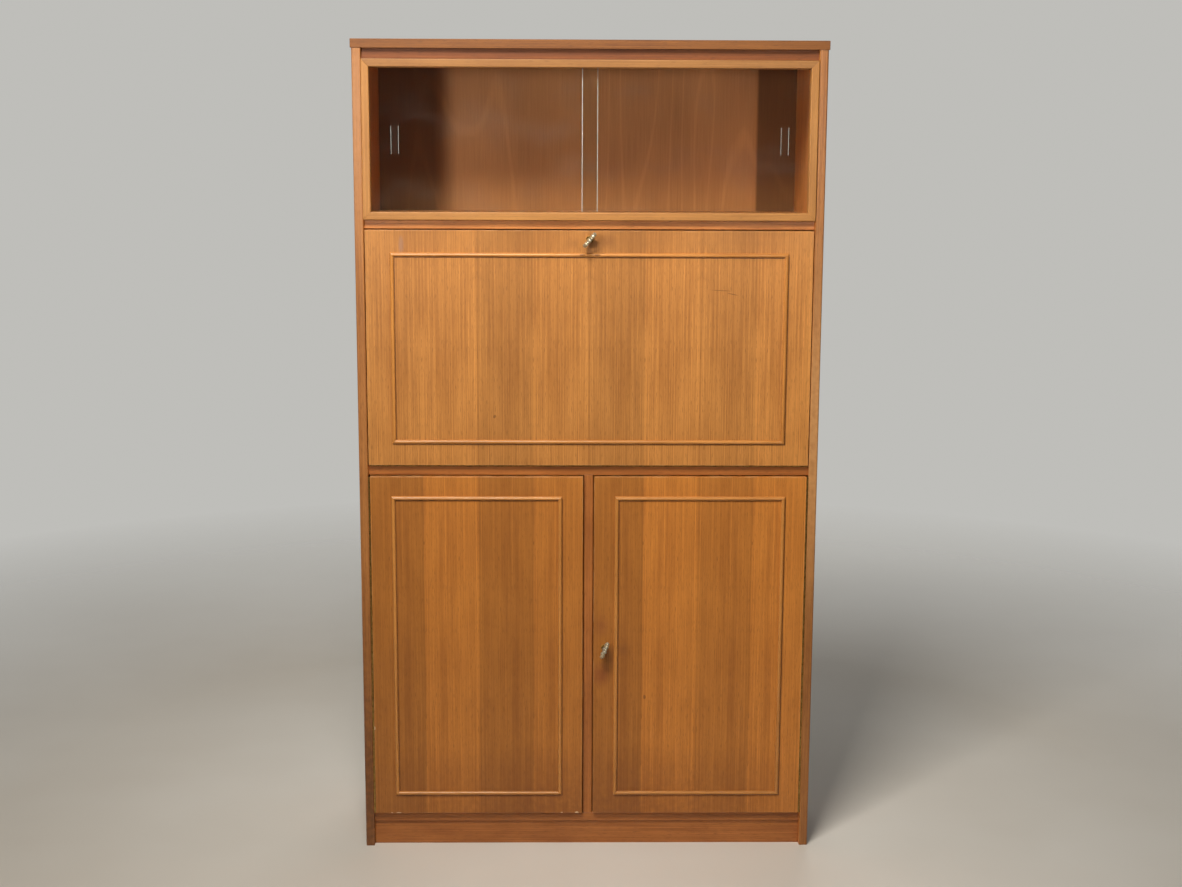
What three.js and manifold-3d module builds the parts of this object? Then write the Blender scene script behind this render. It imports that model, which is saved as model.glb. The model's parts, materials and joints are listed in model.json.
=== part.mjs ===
// Tall secretary desk: a glazed display cabinet over a drop-front writing flap over a two-door cupboard.
// Millimetres, +Z up, the front faces -Y. The origin is on the floor, in the middle of the whole box.
// Inside the main group y = 0 is the front plane of the doors, the flap and the side panels' edges.
import * as THREE from 'three';
import { mergeVertices } from 'three/addons/utils/BufferGeometryUtils.js';
import Module from 'manifold-3d';

const wasm = await Module();
wasm.setup();

// ---------------------------------------------------------------- driving dimensions

const HEIGHT = 1800;
const INNER_WIDTH = 970;          // between the side panels
const DEPTH = 380;                // from the front plane to the back of the sides
const BOARD = 19;                 // carcass board thickness
const PANEL = 20;                 // thickness of the flap and the doors
const RAIL_SETBACK = 10;          // board edges lie this far behind the front plane
const TOP_OVERHANG = { side: 2.5, front: 1.5 };
const PLINTH = { height: 56, setback: 15 };
const BACK = { sheet: 6, rebate: 8, fit: 0.5, bottom: 30 };
const TONGUE = 6;                 // how far a fixed board enters the side panels
const FIT = 0.3;                  // gap kept around a piece let into another
const EDGE_RADIUS = 3;            // rounded outer arris of a side panel
const EASE = 1.2;                 // chamfer on the vitrine frame's arrises and the sides' inner ones
const PAST = 1;                   // how far a cutting shape runs past the face it opens

const DESK_FLOOR_TOP = 881.5;
const VITRINE_FLOOR_TOP = 1421;
const TOP_RAIL = { height: 22, depth: 30 };

const FRAME = { face: 17, proud: 3.5, depth: 24 };   // the vitrine's mitred frame; it stands proud of the front plane

const TRACK = { depth: 17, wall: 2.5, groove: 5, endGap: 0.5, frontGap: 0.5 };
const LOWER_TRACK = { height: 10, groove: 5 };
const UPPER_TRACK = { height: 18, groove: 12 };
const GLASS = { thickness: 4, overlap: 34, sideGap: 2, topGap: 1 };   // the two panes pass each other by the overlap
const PULL = { width: 17, height: 59, depth: 1.4, fromWall: 67, centreZ: 1589.5 };

const FLAP_GAP = { bottom: 4, top: 2.5, side: 2 };
const FLAP_HINGE_Y = 8.5;

const DOOR_GAP = { outer: 4, bottom: 3, top: 2.5, post: 2 };
const DOOR_HINGE_Y = 0.8;
const POST = { width: 20, flange: 44, back: 40 };    // the post between the doors
const HINGE = { leaf: 0.8, knuckle: 1.7, knuckles: 7, knuckleGap: 0.25, leafGap: 0.4, bore: 0.75, pin: 0.6, endGap: 1 };
const FLAP_HINGE_WIDTH = 12;
const DOOR_HINGE_WIDTH = 17;

const BEAD = { width: 9, height: 5, fillet: 0.4, steps: 8 };
const BEAD_MARGIN = { flap: [53, 48], door: [46, 44] };   // from a panel's sides and from its ends

const FLAP_LOCK_BACKSET = 19;     // key axis to the flap's upper edge
const DOOR_LOCK_BACKSET = 25;     // key axis to the door's free edge
const LOCK = {
  halfWidth: 26, beyondKey: 12, front: 8, wall: 1.7, cavity: 8.6, boltHalf: 11, boltFront: 13, boltBack: 18, boltFit: 0.4,
};
const MORTISE = { depth: 9, halfWidth: 12, span: [12.2, 18.8] };
const KEY = { reach: 36, bowWidth: 38, bowLength: 27, bowThickness: 5, shaft: 2.4 };
const KEY_COLLAR = { radius: 4, span: [-8, -2] };
const KEY_BIT = { halfWidth: 1, span: [11, 16.5], drop: 8 };
const KEYHOLE = { radius: 3.4, halfSlot: 1.5, drop: 8.5 };
const ESCUTCHEON = { radius: 8, thickness: 1.2 };
const FLAP_KEY_TILT = 40;         // degrees clockwise, seen from the front
const DOOR_KEY_TILT = 23;

const STAY_X = 470;               // distance of each stay rod from the middle
const STAY_ROD = { radius: 3, length: 350 };
const STAY_REACH = 200;           // rod pivot up the flap from the flap's axis
const STAY_STANDOFF = 20.5;       // rod pivot behind the flap's axis
const ROD_EYE = { radius: 6, halfWidth: 2.5, bore: 2.3 };
const ROD_STOP = { length: 6, proud: 0.2 };
const BRACKET = { halfWidth: 9, halfHeight: 16, plate: 2, earFrom: 5, earTo: 8, earHalf: 7, pin: 2, pinPast: 4 };
const GUIDE = { angle: 60, radius: 9, halfWidth: 6, stud: 4, studIn: 8, bore: 0.6 };   // angle above level, from the flap's axis

const FITMENT = { halfWidth: 455, front: 170, board: 12, height: 88, uprightSetback: 4, backGap: 1 };
const DRAWER = { setback: 6, side: 2, below: 1, above: 2, wall: 8, front: 12, base: 5, dip: 6, behind: 12 };
const KNOB = [[0, 0], [3.5, 0], [3.2, 5], [5, 8], [8, 11], [8.6, 14], [7, 17], [3.6, 18.6], [0, 19]];   // [radius, forward]
const SHELF = { z: 460, thickness: 18, front: 60, gap: 1 };
const BATTEN = { width: 14, height: 20, behind: 12 };
const CATCH = { fromEdge: 40, radius: 4.2, height: 12, ball: 2.6, ballDrop: 1.8, fit: 0.4, depth: 14 };
const LINER_GAP = 1.5;            // between the closed flap and the raised writing floor

// ---------------------------------------------------------------- dimensions that follow

const innerHalf = INNER_WIDTH / 2;
const outerHalf = innerHalf + BOARD;
const topUnderside = HEIGHT - BOARD;
const backFace = DEPTH - BACK.rebate;
const bottomBoardTop = PLINTH.height + BOARD;
const deskFloorUnder = DESK_FLOOR_TOP - BOARD;
const vitrineFloorUnder = VITRINE_FLOOR_TOP - BOARD;
const frameTop = topUnderside - TOP_RAIL.height;

const flapBottom = DESK_FLOOR_TOP + FLAP_GAP.bottom;
const flapTop = vitrineFloorUnder - FLAP_GAP.top;
const flapHalf = innerHalf - FLAP_GAP.side;
const flapHingeZ = (DESK_FLOOR_TOP + flapBottom) / 2;
const openFlapTop = flapHingeZ + PANEL - FLAP_HINGE_Y;   // level of the opened writing surface

const doorBottom = bottomBoardTop + DOOR_GAP.bottom;
const doorTop = deskFloorUnder - DOOR_GAP.top;
const doorOuter = innerHalf - DOOR_GAP.outer;
const doorInner = POST.width / 2 + DOOR_GAP.post;
const doorHingeX = innerHalf - DOOR_GAP.outer / 2;
const doorLockZ = (doorBottom + doorTop) / 2;

const stayRadius = Math.hypot(STAY_STANDOFF, STAY_REACH);
const stayPivot = { y: FLAP_HINGE_Y + STAY_STANDOFF, z: flapHingeZ + STAY_REACH };
const degrees = THREE.MathUtils.degToRad;
const guidePivot = {
  y: FLAP_HINGE_Y + stayRadius * Math.cos(degrees(GUIDE.angle)),
  z: flapHingeZ + stayRadius * Math.sin(degrees(GUIDE.angle)),
};
const stayAngle = Math.atan2(guidePivot.z - stayPivot.z, guidePivot.y - stayPivot.y);

const trackFront = FRAME.depth - FRAME.proud + TRACK.frontGap;
const frontPaneY = trackFront + TRACK.wall + TRACK.groove / 2;
const rearPaneY = trackFront + TRACK.depth - TRACK.wall - TRACK.groove / 2;

// ---------------------------------------------------------------- materials

function finish(color, roughness, metalness = 0, extra = {}) {
  return new THREE.MeshStandardMaterial({ color, roughness, metalness, ...extra });
}
const teakVeneer = finish(0xb37a40, 0.5);
const teakEdge = finish(0x9a6132, 0.5);
const teakFrame = finish(0xcd9455, 0.5);
const teakInside = finish(0xa8713d, 0.6);
const brass = finish(0xc9a24a, 0.3, 1);
const steel = finish(0x8d8a84, 0.4, 1);
const clearGlass = finish(0xdfe8e4, 0.05, 0, { transparent: true, opacity: 0.25 });

// ---------------------------------------------------------------- solids

function solidOf(geometry) {
  const bare = geometry.clone();
  bare.deleteAttribute('normal');
  bare.deleteAttribute('uv');
  const merged = mergeVertices(bare, 1e-4);
  return new wasm.Manifold(new wasm.Mesh({
    numProp: 3,
    vertProperties: merged.attributes.position.array,
    triVerts: new Uint32Array(merged.index.array),
  }));
}

function geometryOf(manifold) {
  const mesh = manifold.getMesh();
  const geometry = new THREE.BufferGeometry();
  geometry.setAttribute('position', new THREE.BufferAttribute(new Float32Array(mesh.vertProperties), 3));
  geometry.setIndex(new THREE.BufferAttribute(new Uint32Array(mesh.triVerts), 1));
  const faceted = geometry.toNonIndexed();
  faceted.computeVertexNormals();
  return faceted;
}

function join(...pieces) {
  return geometryOf(pieces.map(solidOf).reduce((whole, piece) => whole.add(piece)));
}

function cut(geometry, ...tools) {
  return geometryOf(tools.map(solidOf).reduce((whole, tool) => whole.subtract(tool), solidOf(geometry)));
}

function block([x0, x1], [y0, y1], [z0, z1]) {
  const geometry = new THREE.BoxGeometry(Math.abs(x1 - x0), y1 - y0, z1 - z0);
  return geometry.translate((x0 + x1) / 2, (y0 + y1) / 2, (z0 + z1) / 2);
}

// A round bar along one axis, from one coordinate to the other, through the given point.
function bar(axis, from, to, radius, [x, y, z], sides = 16) {
  const geometry = new THREE.CylinderGeometry(radius, radius, to - from, sides);
  if (axis === 'x') geometry.rotateZ(-Math.PI / 2);
  if (axis === 'z') geometry.rotateX(Math.PI / 2);
  const middle = (from + to) / 2;
  return geometry.translate(
    axis === 'x' ? middle : x,
    axis === 'y' ? middle : y,
    axis === 'z' ? middle : z,
  );
}

function outline(points) {
  return new THREE.Shape(points.map(([u, v]) => new THREE.Vector2(u, v)));
}

// A level outline (x, y) raised from one height to another.
function upright(shape, z0, z1, curveSegments = 6) {
  const geometry = new THREE.ExtrudeGeometry(shape, { depth: z1 - z0, bevelEnabled: false, curveSegments });
  return geometry.translate(0, 0, z0);
}

// A surface over rings of corners, one ring for each point of a closed profile.
function skin(rings, closedRings, capEnds) {
  const positions = rings.flat(2);
  const corners = rings[0].length;
  const index = [];
  rings.forEach((ring, i) => {
    const next = (i + 1) % rings.length;
    for (let j = 0; j < (closedRings ? corners : corners - 1); j += 1) {
      const k = (j + 1) % corners;
      const [a, b, c, d] = [i * corners + j, i * corners + k, next * corners + k, next * corners + j];
      index.push(a, b, c, a, c, d);
    }
  });
  if (capEnds) {
    for (let i = 1; i < rings.length - 1; i += 1) {
      index.push(0, i * corners, (i + 1) * corners);
      index.push(corners - 1, (i + 1) * corners + corners - 1, i * corners + corners - 1);
    }
  }
  const geometry = new THREE.BufferGeometry();
  geometry.setAttribute('position', new THREE.Float32BufferAttribute(positions, 3));
  geometry.setIndex(index);
  const faceted = geometry.toNonIndexed();
  faceted.computeVertexNormals();
  return faceted;
}

// A whole mitred frame in one closed ring. The profile is a list of [inset, forward]:
// how far inside the outer rectangle, and how far in front of y = 0.
function mitredRing([x0, x1], [z0, z1], profile) {
  return skin(profile.map(([inset, forward]) => [
    [x0 + inset, -forward, z1 - inset],
    [x1 - inset, -forward, z1 - inset],
    [x1 - inset, -forward, z0 + inset],
    [x0 + inset, -forward, z0 + inset],
  ]), true, false);
}

// One straight member of such a frame, mitred at both ends, along the side from corner a to corner b.
function mitredMember(a, b, inward, profile) {
  const along = [Math.sign(b[0] - a[0]), Math.sign(b[1] - a[1])];
  return skin(profile.map(([inset, forward]) => [
    [b[0] + (inward[0] - along[0]) * inset, -forward, b[1] + (inward[1] - along[1]) * inset],
    [a[0] + (inward[0] + along[0]) * inset, -forward, a[1] + (inward[1] + along[1]) * inset],
  ]), false, true);
}

const secretaryDesk = new THREE.Group();
const desk = new THREE.Group();
desk.position.y = -(DEPTH - KEY.reach) / 2;
secretaryDesk.add(desk);

function add(name, geometry, material, parent = desk) {
  const mesh = new THREE.Mesh(geometry, material);
  mesh.name = name;
  parent.add(mesh);
  return mesh;
}

// ---------------------------------------------------------------- carcass

// A board between the side panels, its tongues let into them behind the front edge.
function housedBoard(z0, z1) {
  const tongueFront = RAIL_SETBACK * 2;
  return join(
    block([-innerHalf, innerHalf], [RAIL_SETBACK, backFace], [z0, z1]),
    block([-innerHalf - TONGUE, innerHalf + TONGUE], [tongueFront, backFace], [z0, z1]),
  );
}

const fixedBoards = [
  [PLINTH.height, bottomBoardTop],
  [deskFloorUnder, DESK_FLOOR_TOP],
  [vitrineFloorUnder, VITRINE_FLOOR_TOP],
];

function sidePanel(side) {
  const section = new THREE.Shape();
  const quarter = Math.PI / 2;
  section.moveTo(side * innerHalf, EASE);
  section.lineTo(side * (innerHalf + EASE), 0);
  if (side > 0) {
    section.absarc(outerHalf - EDGE_RADIUS, EDGE_RADIUS, EDGE_RADIUS, -quarter, 0, false);
  } else {
    section.absarc(-outerHalf + EDGE_RADIUS, EDGE_RADIUS, EDGE_RADIUS, -quarter, -2 * quarter, true);
  }
  section.lineTo(side * outerHalf, DEPTH);
  section.lineTo(side * (innerHalf + BACK.rebate), DEPTH);
  section.lineTo(side * (innerHalf + BACK.rebate), backFace);
  section.lineTo(side * innerHalf, backFace);
  section.closePath();
  const housings = fixedBoards.map(([z0, z1]) => block(
    [side * (innerHalf - PAST), side * (innerHalf + TONGUE + FIT)],
    [RAIL_SETBACK * 2 - FIT, DEPTH + PAST],
    [z0 - FIT, z1 + FIT],
  ));
  const socket = [side * (innerHalf - PAST), side * (innerHalf + BOARD / 2)].sort((a, b) => a - b);
  const studHole = bar('x', socket[0], socket[1], GUIDE.stud + FIT, [0, guidePivot.y, guidePivot.z]);
  return cut(upright(section, 0, topUnderside), ...housings, studHole);
}
add('side_panel_left', sidePanel(-1), teakVeneer);
add('side_panel_right', sidePanel(1), teakVeneer);

add('top_board', block(
  [-outerHalf - TOP_OVERHANG.side, outerHalf + TOP_OVERHANG.side], [-TOP_OVERHANG.front, DEPTH], [topUnderside, HEIGHT],
), teakVeneer);
add('top_rail', block(
  [-innerHalf, innerHalf], [RAIL_SETBACK, RAIL_SETBACK + TOP_RAIL.depth], [frameTop, topUnderside],
), teakEdge);

const flapBoltMortise = block(
  [-MORTISE.halfWidth, MORTISE.halfWidth],
  MORTISE.span,
  [vitrineFloorUnder - PAST, vitrineFloorUnder + MORTISE.depth],
);
add('vitrine_floor', cut(housedBoard(vitrineFloorUnder, VITRINE_FLOOR_TOP), flapBoltMortise), teakEdge);
add('desk_floor', housedBoard(deskFloorUnder, DESK_FLOOR_TOP), teakEdge);
add('bottom_board', housedBoard(PLINTH.height, bottomBoardTop), teakEdge);
add('plinth_board', block(
  [-innerHalf, innerHalf], [PLINTH.setback, PLINTH.setback + BOARD], [0, PLINTH.height],
), teakEdge);
add('back_panel', block(
  [-innerHalf - BACK.rebate + BACK.fit, innerHalf + BACK.rebate - BACK.fit],
  [backFace, backFace + BACK.sheet],
  [BACK.bottom, topUnderside],
), teakInside);

// T-shaped in section: the narrow front shows between the doors, the flange behind is their stop.
const postSection = outline([
  [-POST.width / 2, RAIL_SETBACK],
  [POST.width / 2, RAIL_SETBACK],
  [POST.width / 2, PANEL + FIT],
  [POST.flange / 2, PANEL + FIT],
  [POST.flange / 2, POST.back],
  [-POST.flange / 2, POST.back],
  [-POST.flange / 2, PANEL + FIT],
  [-POST.width / 2, PANEL + FIT],
]);
const doorBoltMortise = block(
  [doorInner - MORTISE.depth, POST.width / 2 + PAST],
  MORTISE.span,
  [doorLockZ - MORTISE.halfWidth, doorLockZ + MORTISE.halfWidth],
);
add('centre_post', cut(upright(postSection, bottomBoardTop, deskFloorUnder), doorBoltMortise), teakEdge);

add('cabinet_shelf', block(
  [-innerHalf + SHELF.gap, innerHalf - SHELF.gap],
  [SHELF.front, backFace - SHELF.gap],
  [SHELF.z, SHELF.z + SHELF.thickness],
), teakInside);
for (const [name, side] of [['left', -1], ['right', 1]]) {
  add(`shelf_batten_${name}`, block(
    [side * (innerHalf - BATTEN.width), side * innerHalf],
    [SHELF.front, backFace - BATTEN.behind],
    [SHELF.z - BATTEN.height, SHELF.z],
  ), teakInside);
}

// ---------------------------------------------------------------- vitrine

// Section of the frame: [inset, forward], with the two front arrises eased.
const frameProfile = [
  [0, FRAME.proud - FRAME.depth],
  [FRAME.face, FRAME.proud - FRAME.depth],
  [FRAME.face, FRAME.proud - EASE],
  [FRAME.face - EASE, FRAME.proud],
  [EASE, FRAME.proud],
  [0, FRAME.proud - EASE],
];
const lowLeft = [-innerHalf, VITRINE_FLOOR_TOP];
const lowRight = [innerHalf, VITRINE_FLOOR_TOP];
const highRight = [innerHalf, frameTop];
const highLeft = [-innerHalf, frameTop];
add('frame_bottom', mitredMember(lowLeft, lowRight, [0, 1], frameProfile), teakFrame);
add('frame_right', mitredMember(lowRight, highRight, [-1, 0], frameProfile), teakFrame);
add('frame_top', mitredMember(highRight, highLeft, [0, -1], frameProfile), teakFrame);
add('frame_left', mitredMember(highLeft, lowLeft, [1, 0], frameProfile), teakFrame);

function track(z0, z1, grooveLow, grooveHigh) {
  const grooves = [frontPaneY, rearPaneY].map((y) => block(
    [-innerHalf - PAST, innerHalf + PAST],
    [y - TRACK.groove / 2, y + TRACK.groove / 2],
    [grooveLow, grooveHigh],
  ));
  const half = innerHalf - TRACK.endGap;
  return cut(block([-half, half], [trackFront, trackFront + TRACK.depth], [z0, z1]), ...grooves);
}
const lowerTrackTop = VITRINE_FLOOR_TOP + LOWER_TRACK.height;
const lowerGrooveFloor = lowerTrackTop - LOWER_TRACK.groove;
const upperTrackUnder = frameTop - UPPER_TRACK.height;
add('glass_track_bottom', track(
  VITRINE_FLOOR_TOP, lowerTrackTop, lowerGrooveFloor, lowerTrackTop + PAST,
), teakInside);
add('glass_track_top', track(
  upperTrackUnder, frameTop, upperTrackUnder - PAST, upperTrackUnder + UPPER_TRACK.groove,
), teakInside);

// The left pane runs in the rear grooves and the right one in the front grooves. The upper grooves are
// deep enough to lift a pane out of the lower one. Each has a shallow ground finger pull near its outer end.
function glassPane(side, y) {
  const bottom = lowerGrooveFloor + FIT;
  const top = upperTrackUnder + UPPER_TRACK.groove - LOWER_TRACK.groove - GLASS.topGap;
  const front = y - GLASS.thickness / 2;
  const scoopRadius = (PULL.width ** 2 / 4 + PULL.depth ** 2) / (2 * PULL.depth);
  const halfAngle = Math.asin(PULL.width / 2 / scoopRadius);
  const scoop = new THREE.Shape();
  scoop.absarc(
    side * (innerHalf - PULL.fromWall), front + PULL.depth - scoopRadius, scoopRadius,
    Math.PI / 2 - halfAngle, Math.PI / 2 + halfAngle, false,
  );
  scoop.lineTo(side * (innerHalf - PULL.fromWall) - PULL.width / 2, front - PAST);
  scoop.lineTo(side * (innerHalf - PULL.fromWall) + PULL.width / 2, front - PAST);
  scoop.closePath();
  return cut(
    block(
      [side * (innerHalf - GLASS.sideGap), -side * GLASS.overlap / 2], [front, front + GLASS.thickness], [bottom, top],
    ),
    upright(scoop, PULL.centreZ - PULL.height / 2, PULL.centreZ + PULL.height / 2, 8),
  );
}
add('glass_pane_left', glassPane(-1, rearPaneY), clearGlass);
add('glass_pane_right', glassPane(1, frontPaneY), clearGlass);

// ---------------------------------------------------------------- piano hinges

// Made with the axis along Z: the leaf lies flat on x = side * halfGap and reaches back along +Y.
// Its knuckles take every other place along the pin, from the given first one.
function hingeLeaf({ length, halfGap, width, side, first }) {
  const pitch = length / HINGE.knuckles;
  const leafFront = HINGE.knuckle + HINGE.leafGap;
  const faces = [side * halfGap, side * (halfGap - HINGE.leaf)].sort((a, b) => a - b);
  const pieces = [block(faces, [leafFront, width], [0, length])];
  for (let i = first; i < HINGE.knuckles; i += 2) {
    const [from, to] = [i * pitch + HINGE.knuckleGap, (i + 1) * pitch - HINGE.knuckleGap];
    pieces.push(block(faces, [0, leafFront + 0.1], [from, to]));
    pieces.push(bar('z', from, to, HINGE.knuckle, [0, 0, 0], 12));
  }
  return cut(join(...pieces), bar('z', -PAST, length + PAST, HINGE.bore, [0, 0, 0], 12));
}

// The fixed leaf lies on the hinge's own +X side if fixedSide is 1, and on its -X side if it is -1.
function pianoHinge(name, { fixedSide, ...sizes }, place) {
  const hinge = new THREE.Group();
  place(hinge);
  desk.add(hinge);
  const pin = bar('z', HINGE.endGap / 2, sizes.length - HINGE.endGap / 2, HINGE.pin, [0, 0, 0], 12);
  add(`${name}_hinge_leaf_fixed`, hingeLeaf({ ...sizes, side: fixedSide, first: 0 }), brass, hinge);
  add(`${name}_hinge_leaf_moving`, hingeLeaf({ ...sizes, side: -fixedSide, first: 1 }), brass, hinge);
  add(`${name}_hinge_pin`, pin, steel, hinge);
}

// ---------------------------------------------------------------- locks and keys

// Made about the key's axis, which runs along Y; the bolt is thrown towards +Z.
function lockPocket(backset) {
  return block(
    [-LOCK.halfWidth - FIT, LOCK.halfWidth + FIT],
    [LOCK.front, PANEL + PAST],
    [-LOCK.beyondKey - FIT, backset + PAST],
  );
}

// A case with a round cavity for the key's bit and a channel for the bolt.
function lockCase(backset) {
  const front = LOCK.front + FIT;
  const cavityFront = front + LOCK.wall;
  const cavityBack = LOCK.boltBack + FIT;
  return cut(
    block([-LOCK.halfWidth, LOCK.halfWidth], [front, PANEL - FIT], [-LOCK.beyondKey, backset - FIT]),
    bar('y', cavityFront, cavityBack, LOCK.cavity, [0, 0, 0], 24),
    block(
      [-LOCK.boltHalf - LOCK.boltFit, LOCK.boltHalf + LOCK.boltFit],
      [LOCK.boltFront - LOCK.boltFit, cavityBack],
      [LOCK.cavity * 0.7, backset + PAST],
    ),
    bar('y', front - PAST, cavityFront + PAST, KEYHOLE.radius, [0, 0, 0]),
  );
}

function lockBolt(backset) {
  return block(
    [-LOCK.boltHalf, LOCK.boltHalf],
    [LOCK.boltFront, LOCK.boltBack],
    [LOCK.cavity + LOCK.boltFit, backset - LOCK.boltFit],
  );
}

// A round hole for the shaft with a slot below it that lets the bit through.
function keyhole(y0, y1) {
  const slot = block([-KEYHOLE.halfSlot, KEYHOLE.halfSlot], [y0, y1], [-KEYHOLE.drop, 0]);
  return join(bar('y', y0, y1, KEYHOLE.radius, [0, 0, 0]), slot);
}

// An oval pierced bow across the shaft's end, a collar, the shaft, and the bit inside the lock.
function keySolid() {
  const middle = -KEY.reach + KEY.bowLength / 2;
  const bow = new THREE.Shape();
  bow.absellipse(0, 0, KEY.bowLength / 2, KEY.bowWidth / 2, 0, Math.PI * 2, false);
  for (const half of [-1, 1]) {
    const hole = new THREE.Path();
    hole.absellipse(0, half * KEY.bowWidth * 0.23, KEY.bowLength * 0.3, KEY.bowWidth * 0.16, 0, Math.PI * 2, true);
    bow.holes.push(hole);
  }
  const plate = new THREE.ExtrudeGeometry(bow, {
    depth: KEY.bowThickness, bevelEnabled: false, curveSegments: 12,
  });
  plate.translate(0, 0, -KEY.bowThickness / 2);
  plate.rotateX(Math.PI / 2);
  plate.rotateZ(Math.PI / 2);
  plate.translate(0, middle, 0);
  return join(
    plate,
    bar('y', -KEY.reach + KEY.bowLength - 2, LOCK.boltBack - 0.5, KEY.shaft, [0, 0, 0], 12),
    bar('y', ...KEY_COLLAR.span, KEY_COLLAR.radius, [0, 0, 0]),
    block([-KEY_BIT.halfWidth, KEY_BIT.halfWidth], KEY_BIT.span, [-KEY_BIT.drop, 0]),
  );
}

function escutcheon() {
  return cut(
    bar('y', -ESCUTCHEON.thickness, 0, ESCUTCHEON.radius, [0, 0, 0], 24),
    keyhole(-ESCUTCHEON.thickness - PAST, PAST),
  );
}

// The turn about Y takes the throw from +Z to the panel's free edge; keys and keyholes stay upright.
function lockSet(name, place, backset, turn, tilt) {
  const lock = new THREE.Group();
  lock.position.copy(place);
  lock.rotation.y = turn;
  desk.add(lock);
  add(`${name}_lock_case`, lockCase(backset), steel, lock);
  add(`${name}_lock_bolt`, lockBolt(backset), brass, lock);
  const upRight = new THREE.Group();
  upRight.position.copy(place);
  desk.add(upRight);
  add(`${name}_escutcheon`, escutcheon(), brass, upRight);
  const key = add(`${name}_key`, keySolid(), brass, upRight);
  key.rotation.y = degrees(tilt);
}

function lockCuts(place, backset, turn) {
  const pocket = lockPocket(backset).rotateY(turn).translate(place.x, place.y, place.z);
  const hole = keyhole(-PAST, LOCK.front + PAST).translate(place.x, place.y, place.z);
  return [pocket, hole];
}

// ---------------------------------------------------------------- half-round beads

// Its section from the inner foot over the crown to the outer foot, with a small fillet at each.
const beadProfile = [[0, 0], [BEAD.width, 0]];
for (let i = 0; i <= BEAD.steps; i += 1) {
  const angle = (Math.PI * i) / BEAD.steps;
  beadProfile.push([
    (BEAD.width / 2) * (1 + Math.cos(angle)),
    Math.max(BEAD.fillet, BEAD.height * Math.sin(angle)),
  ]);
}

function beadRing([x0, x1], [z0, z1], [fromSides, fromEnds]) {
  return mitredRing([x0 + fromSides, x1 - fromSides], [z0 + fromEnds, z1 - fromEnds], beadProfile);
}

// ---------------------------------------------------------------- writing flap

const flapKey = new THREE.Vector3(0, 0, flapTop - FLAP_LOCK_BACKSET);
const flapPanel = block([-flapHalf, flapHalf], [0, PANEL], [flapBottom, flapTop]);
add('flap_panel', cut(flapPanel, ...lockCuts(flapKey, FLAP_LOCK_BACKSET, 0)), teakVeneer);
add('flap_bead', beadRing([-flapHalf, flapHalf], [flapBottom, flapTop], BEAD_MARGIN.flap), teakVeneer);
lockSet('flap', flapKey, FLAP_LOCK_BACKSET, 0, FLAP_KEY_TILT);

// The hinge's own Z axis is laid along X, so that its +X side, the fixed leaf, faces down.
pianoHinge('flap', {
  length: 2 * (flapHalf - HINGE.endGap), halfGap: FLAP_GAP.bottom / 2, width: FLAP_HINGE_WIDTH, fixedSide: 1,
}, (hinge) => {
  hinge.position.set(-flapHalf + HINGE.endGap, FLAP_HINGE_Y, flapHingeZ);
  hinge.rotation.y = Math.PI / 2;
});

// ---------------------------------------------------------------- flap stays

// A rod hung from the flap slides through a swivelling guide in the side panel.
// Both pivots are the same distance from the flap's axis, so the rod turns half as far as the flap.
// A plate on the flap, an ear that stands off it, and the pin that the rod hangs on.
function stayBracket(side) {
  const [low, high] = [stayPivot.z - BRACKET.halfHeight, stayPivot.z + BRACKET.halfHeight];
  const pin = [side * (STAY_X - BRACKET.earTo + PAST), side * (STAY_X + BRACKET.pinPast)].sort((a, b) => a - b);
  return join(
    block(
      [side * (STAY_X - BRACKET.halfWidth), side * (STAY_X + BRACKET.halfWidth)],
      [PANEL, PANEL + BRACKET.plate],
      [low, high],
    ),
    block(
      [side * (STAY_X - BRACKET.earTo), side * (STAY_X - BRACKET.earFrom)],
      [PANEL + BRACKET.plate / 2, stayPivot.y + BRACKET.earFrom],
      [stayPivot.z - BRACKET.earHalf, stayPivot.z + BRACKET.earHalf],
    ),
    bar('x', pin[0], pin[1], BRACKET.pin, [0, stayPivot.y, stayPivot.z], 12),
  );
}

// An eye on the bracket's pin, the rod, and the stop at its free end.
function stayRod() {
  return cut(
    join(
      bar('x', -ROD_EYE.halfWidth, ROD_EYE.halfWidth, ROD_EYE.radius, [0, 0, 0]),
      bar('y', ROD_EYE.radius - 2, STAY_ROD.length, STAY_ROD.radius, [0, 0, 0], 12),
      bar('y', STAY_ROD.length - ROD_STOP.length, STAY_ROD.length, STAY_ROD.radius + ROD_STOP.proud, [0, 0, 0], 12),
    ),
    bar('x', -ROD_EYE.halfWidth - PAST, ROD_EYE.halfWidth + PAST, ROD_EYE.bore, [0, 0, 0], 12),
  );
}

// A drum bored for the rod, on a stud that turns in the side panel.
function stayGuide(side) {
  const stud = [side * (GUIDE.halfWidth - PAST), side * (innerHalf - STAY_X + GUIDE.studIn)].sort((a, b) => a - b);
  return cut(
    join(
      bar('x', -GUIDE.halfWidth, GUIDE.halfWidth, GUIDE.radius, [0, 0, 0]),
      bar('x', stud[0], stud[1], GUIDE.stud, [0, 0, 0]),
    ),
    bar('y', -GUIDE.radius - PAST, GUIDE.radius + PAST, STAY_ROD.radius + GUIDE.bore, [0, 0, 0], 12),
  );
}

for (const [name, side] of [['left', -1], ['right', 1]]) {
  add(`stay_bracket_${name}`, stayBracket(side), brass);
  const rod = add(`stay_rod_${name}`, stayRod(), brass);
  rod.position.set(side * STAY_X, stayPivot.y, stayPivot.z);
  rod.rotation.x = stayAngle;
  const guide = add(`stay_guide_${name}`, stayGuide(side), brass);
  guide.position.set(side * STAY_X, guidePivot.y, guidePivot.z);
  guide.rotation.x = stayAngle;
}

// ---------------------------------------------------------------- cupboard doors

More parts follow.
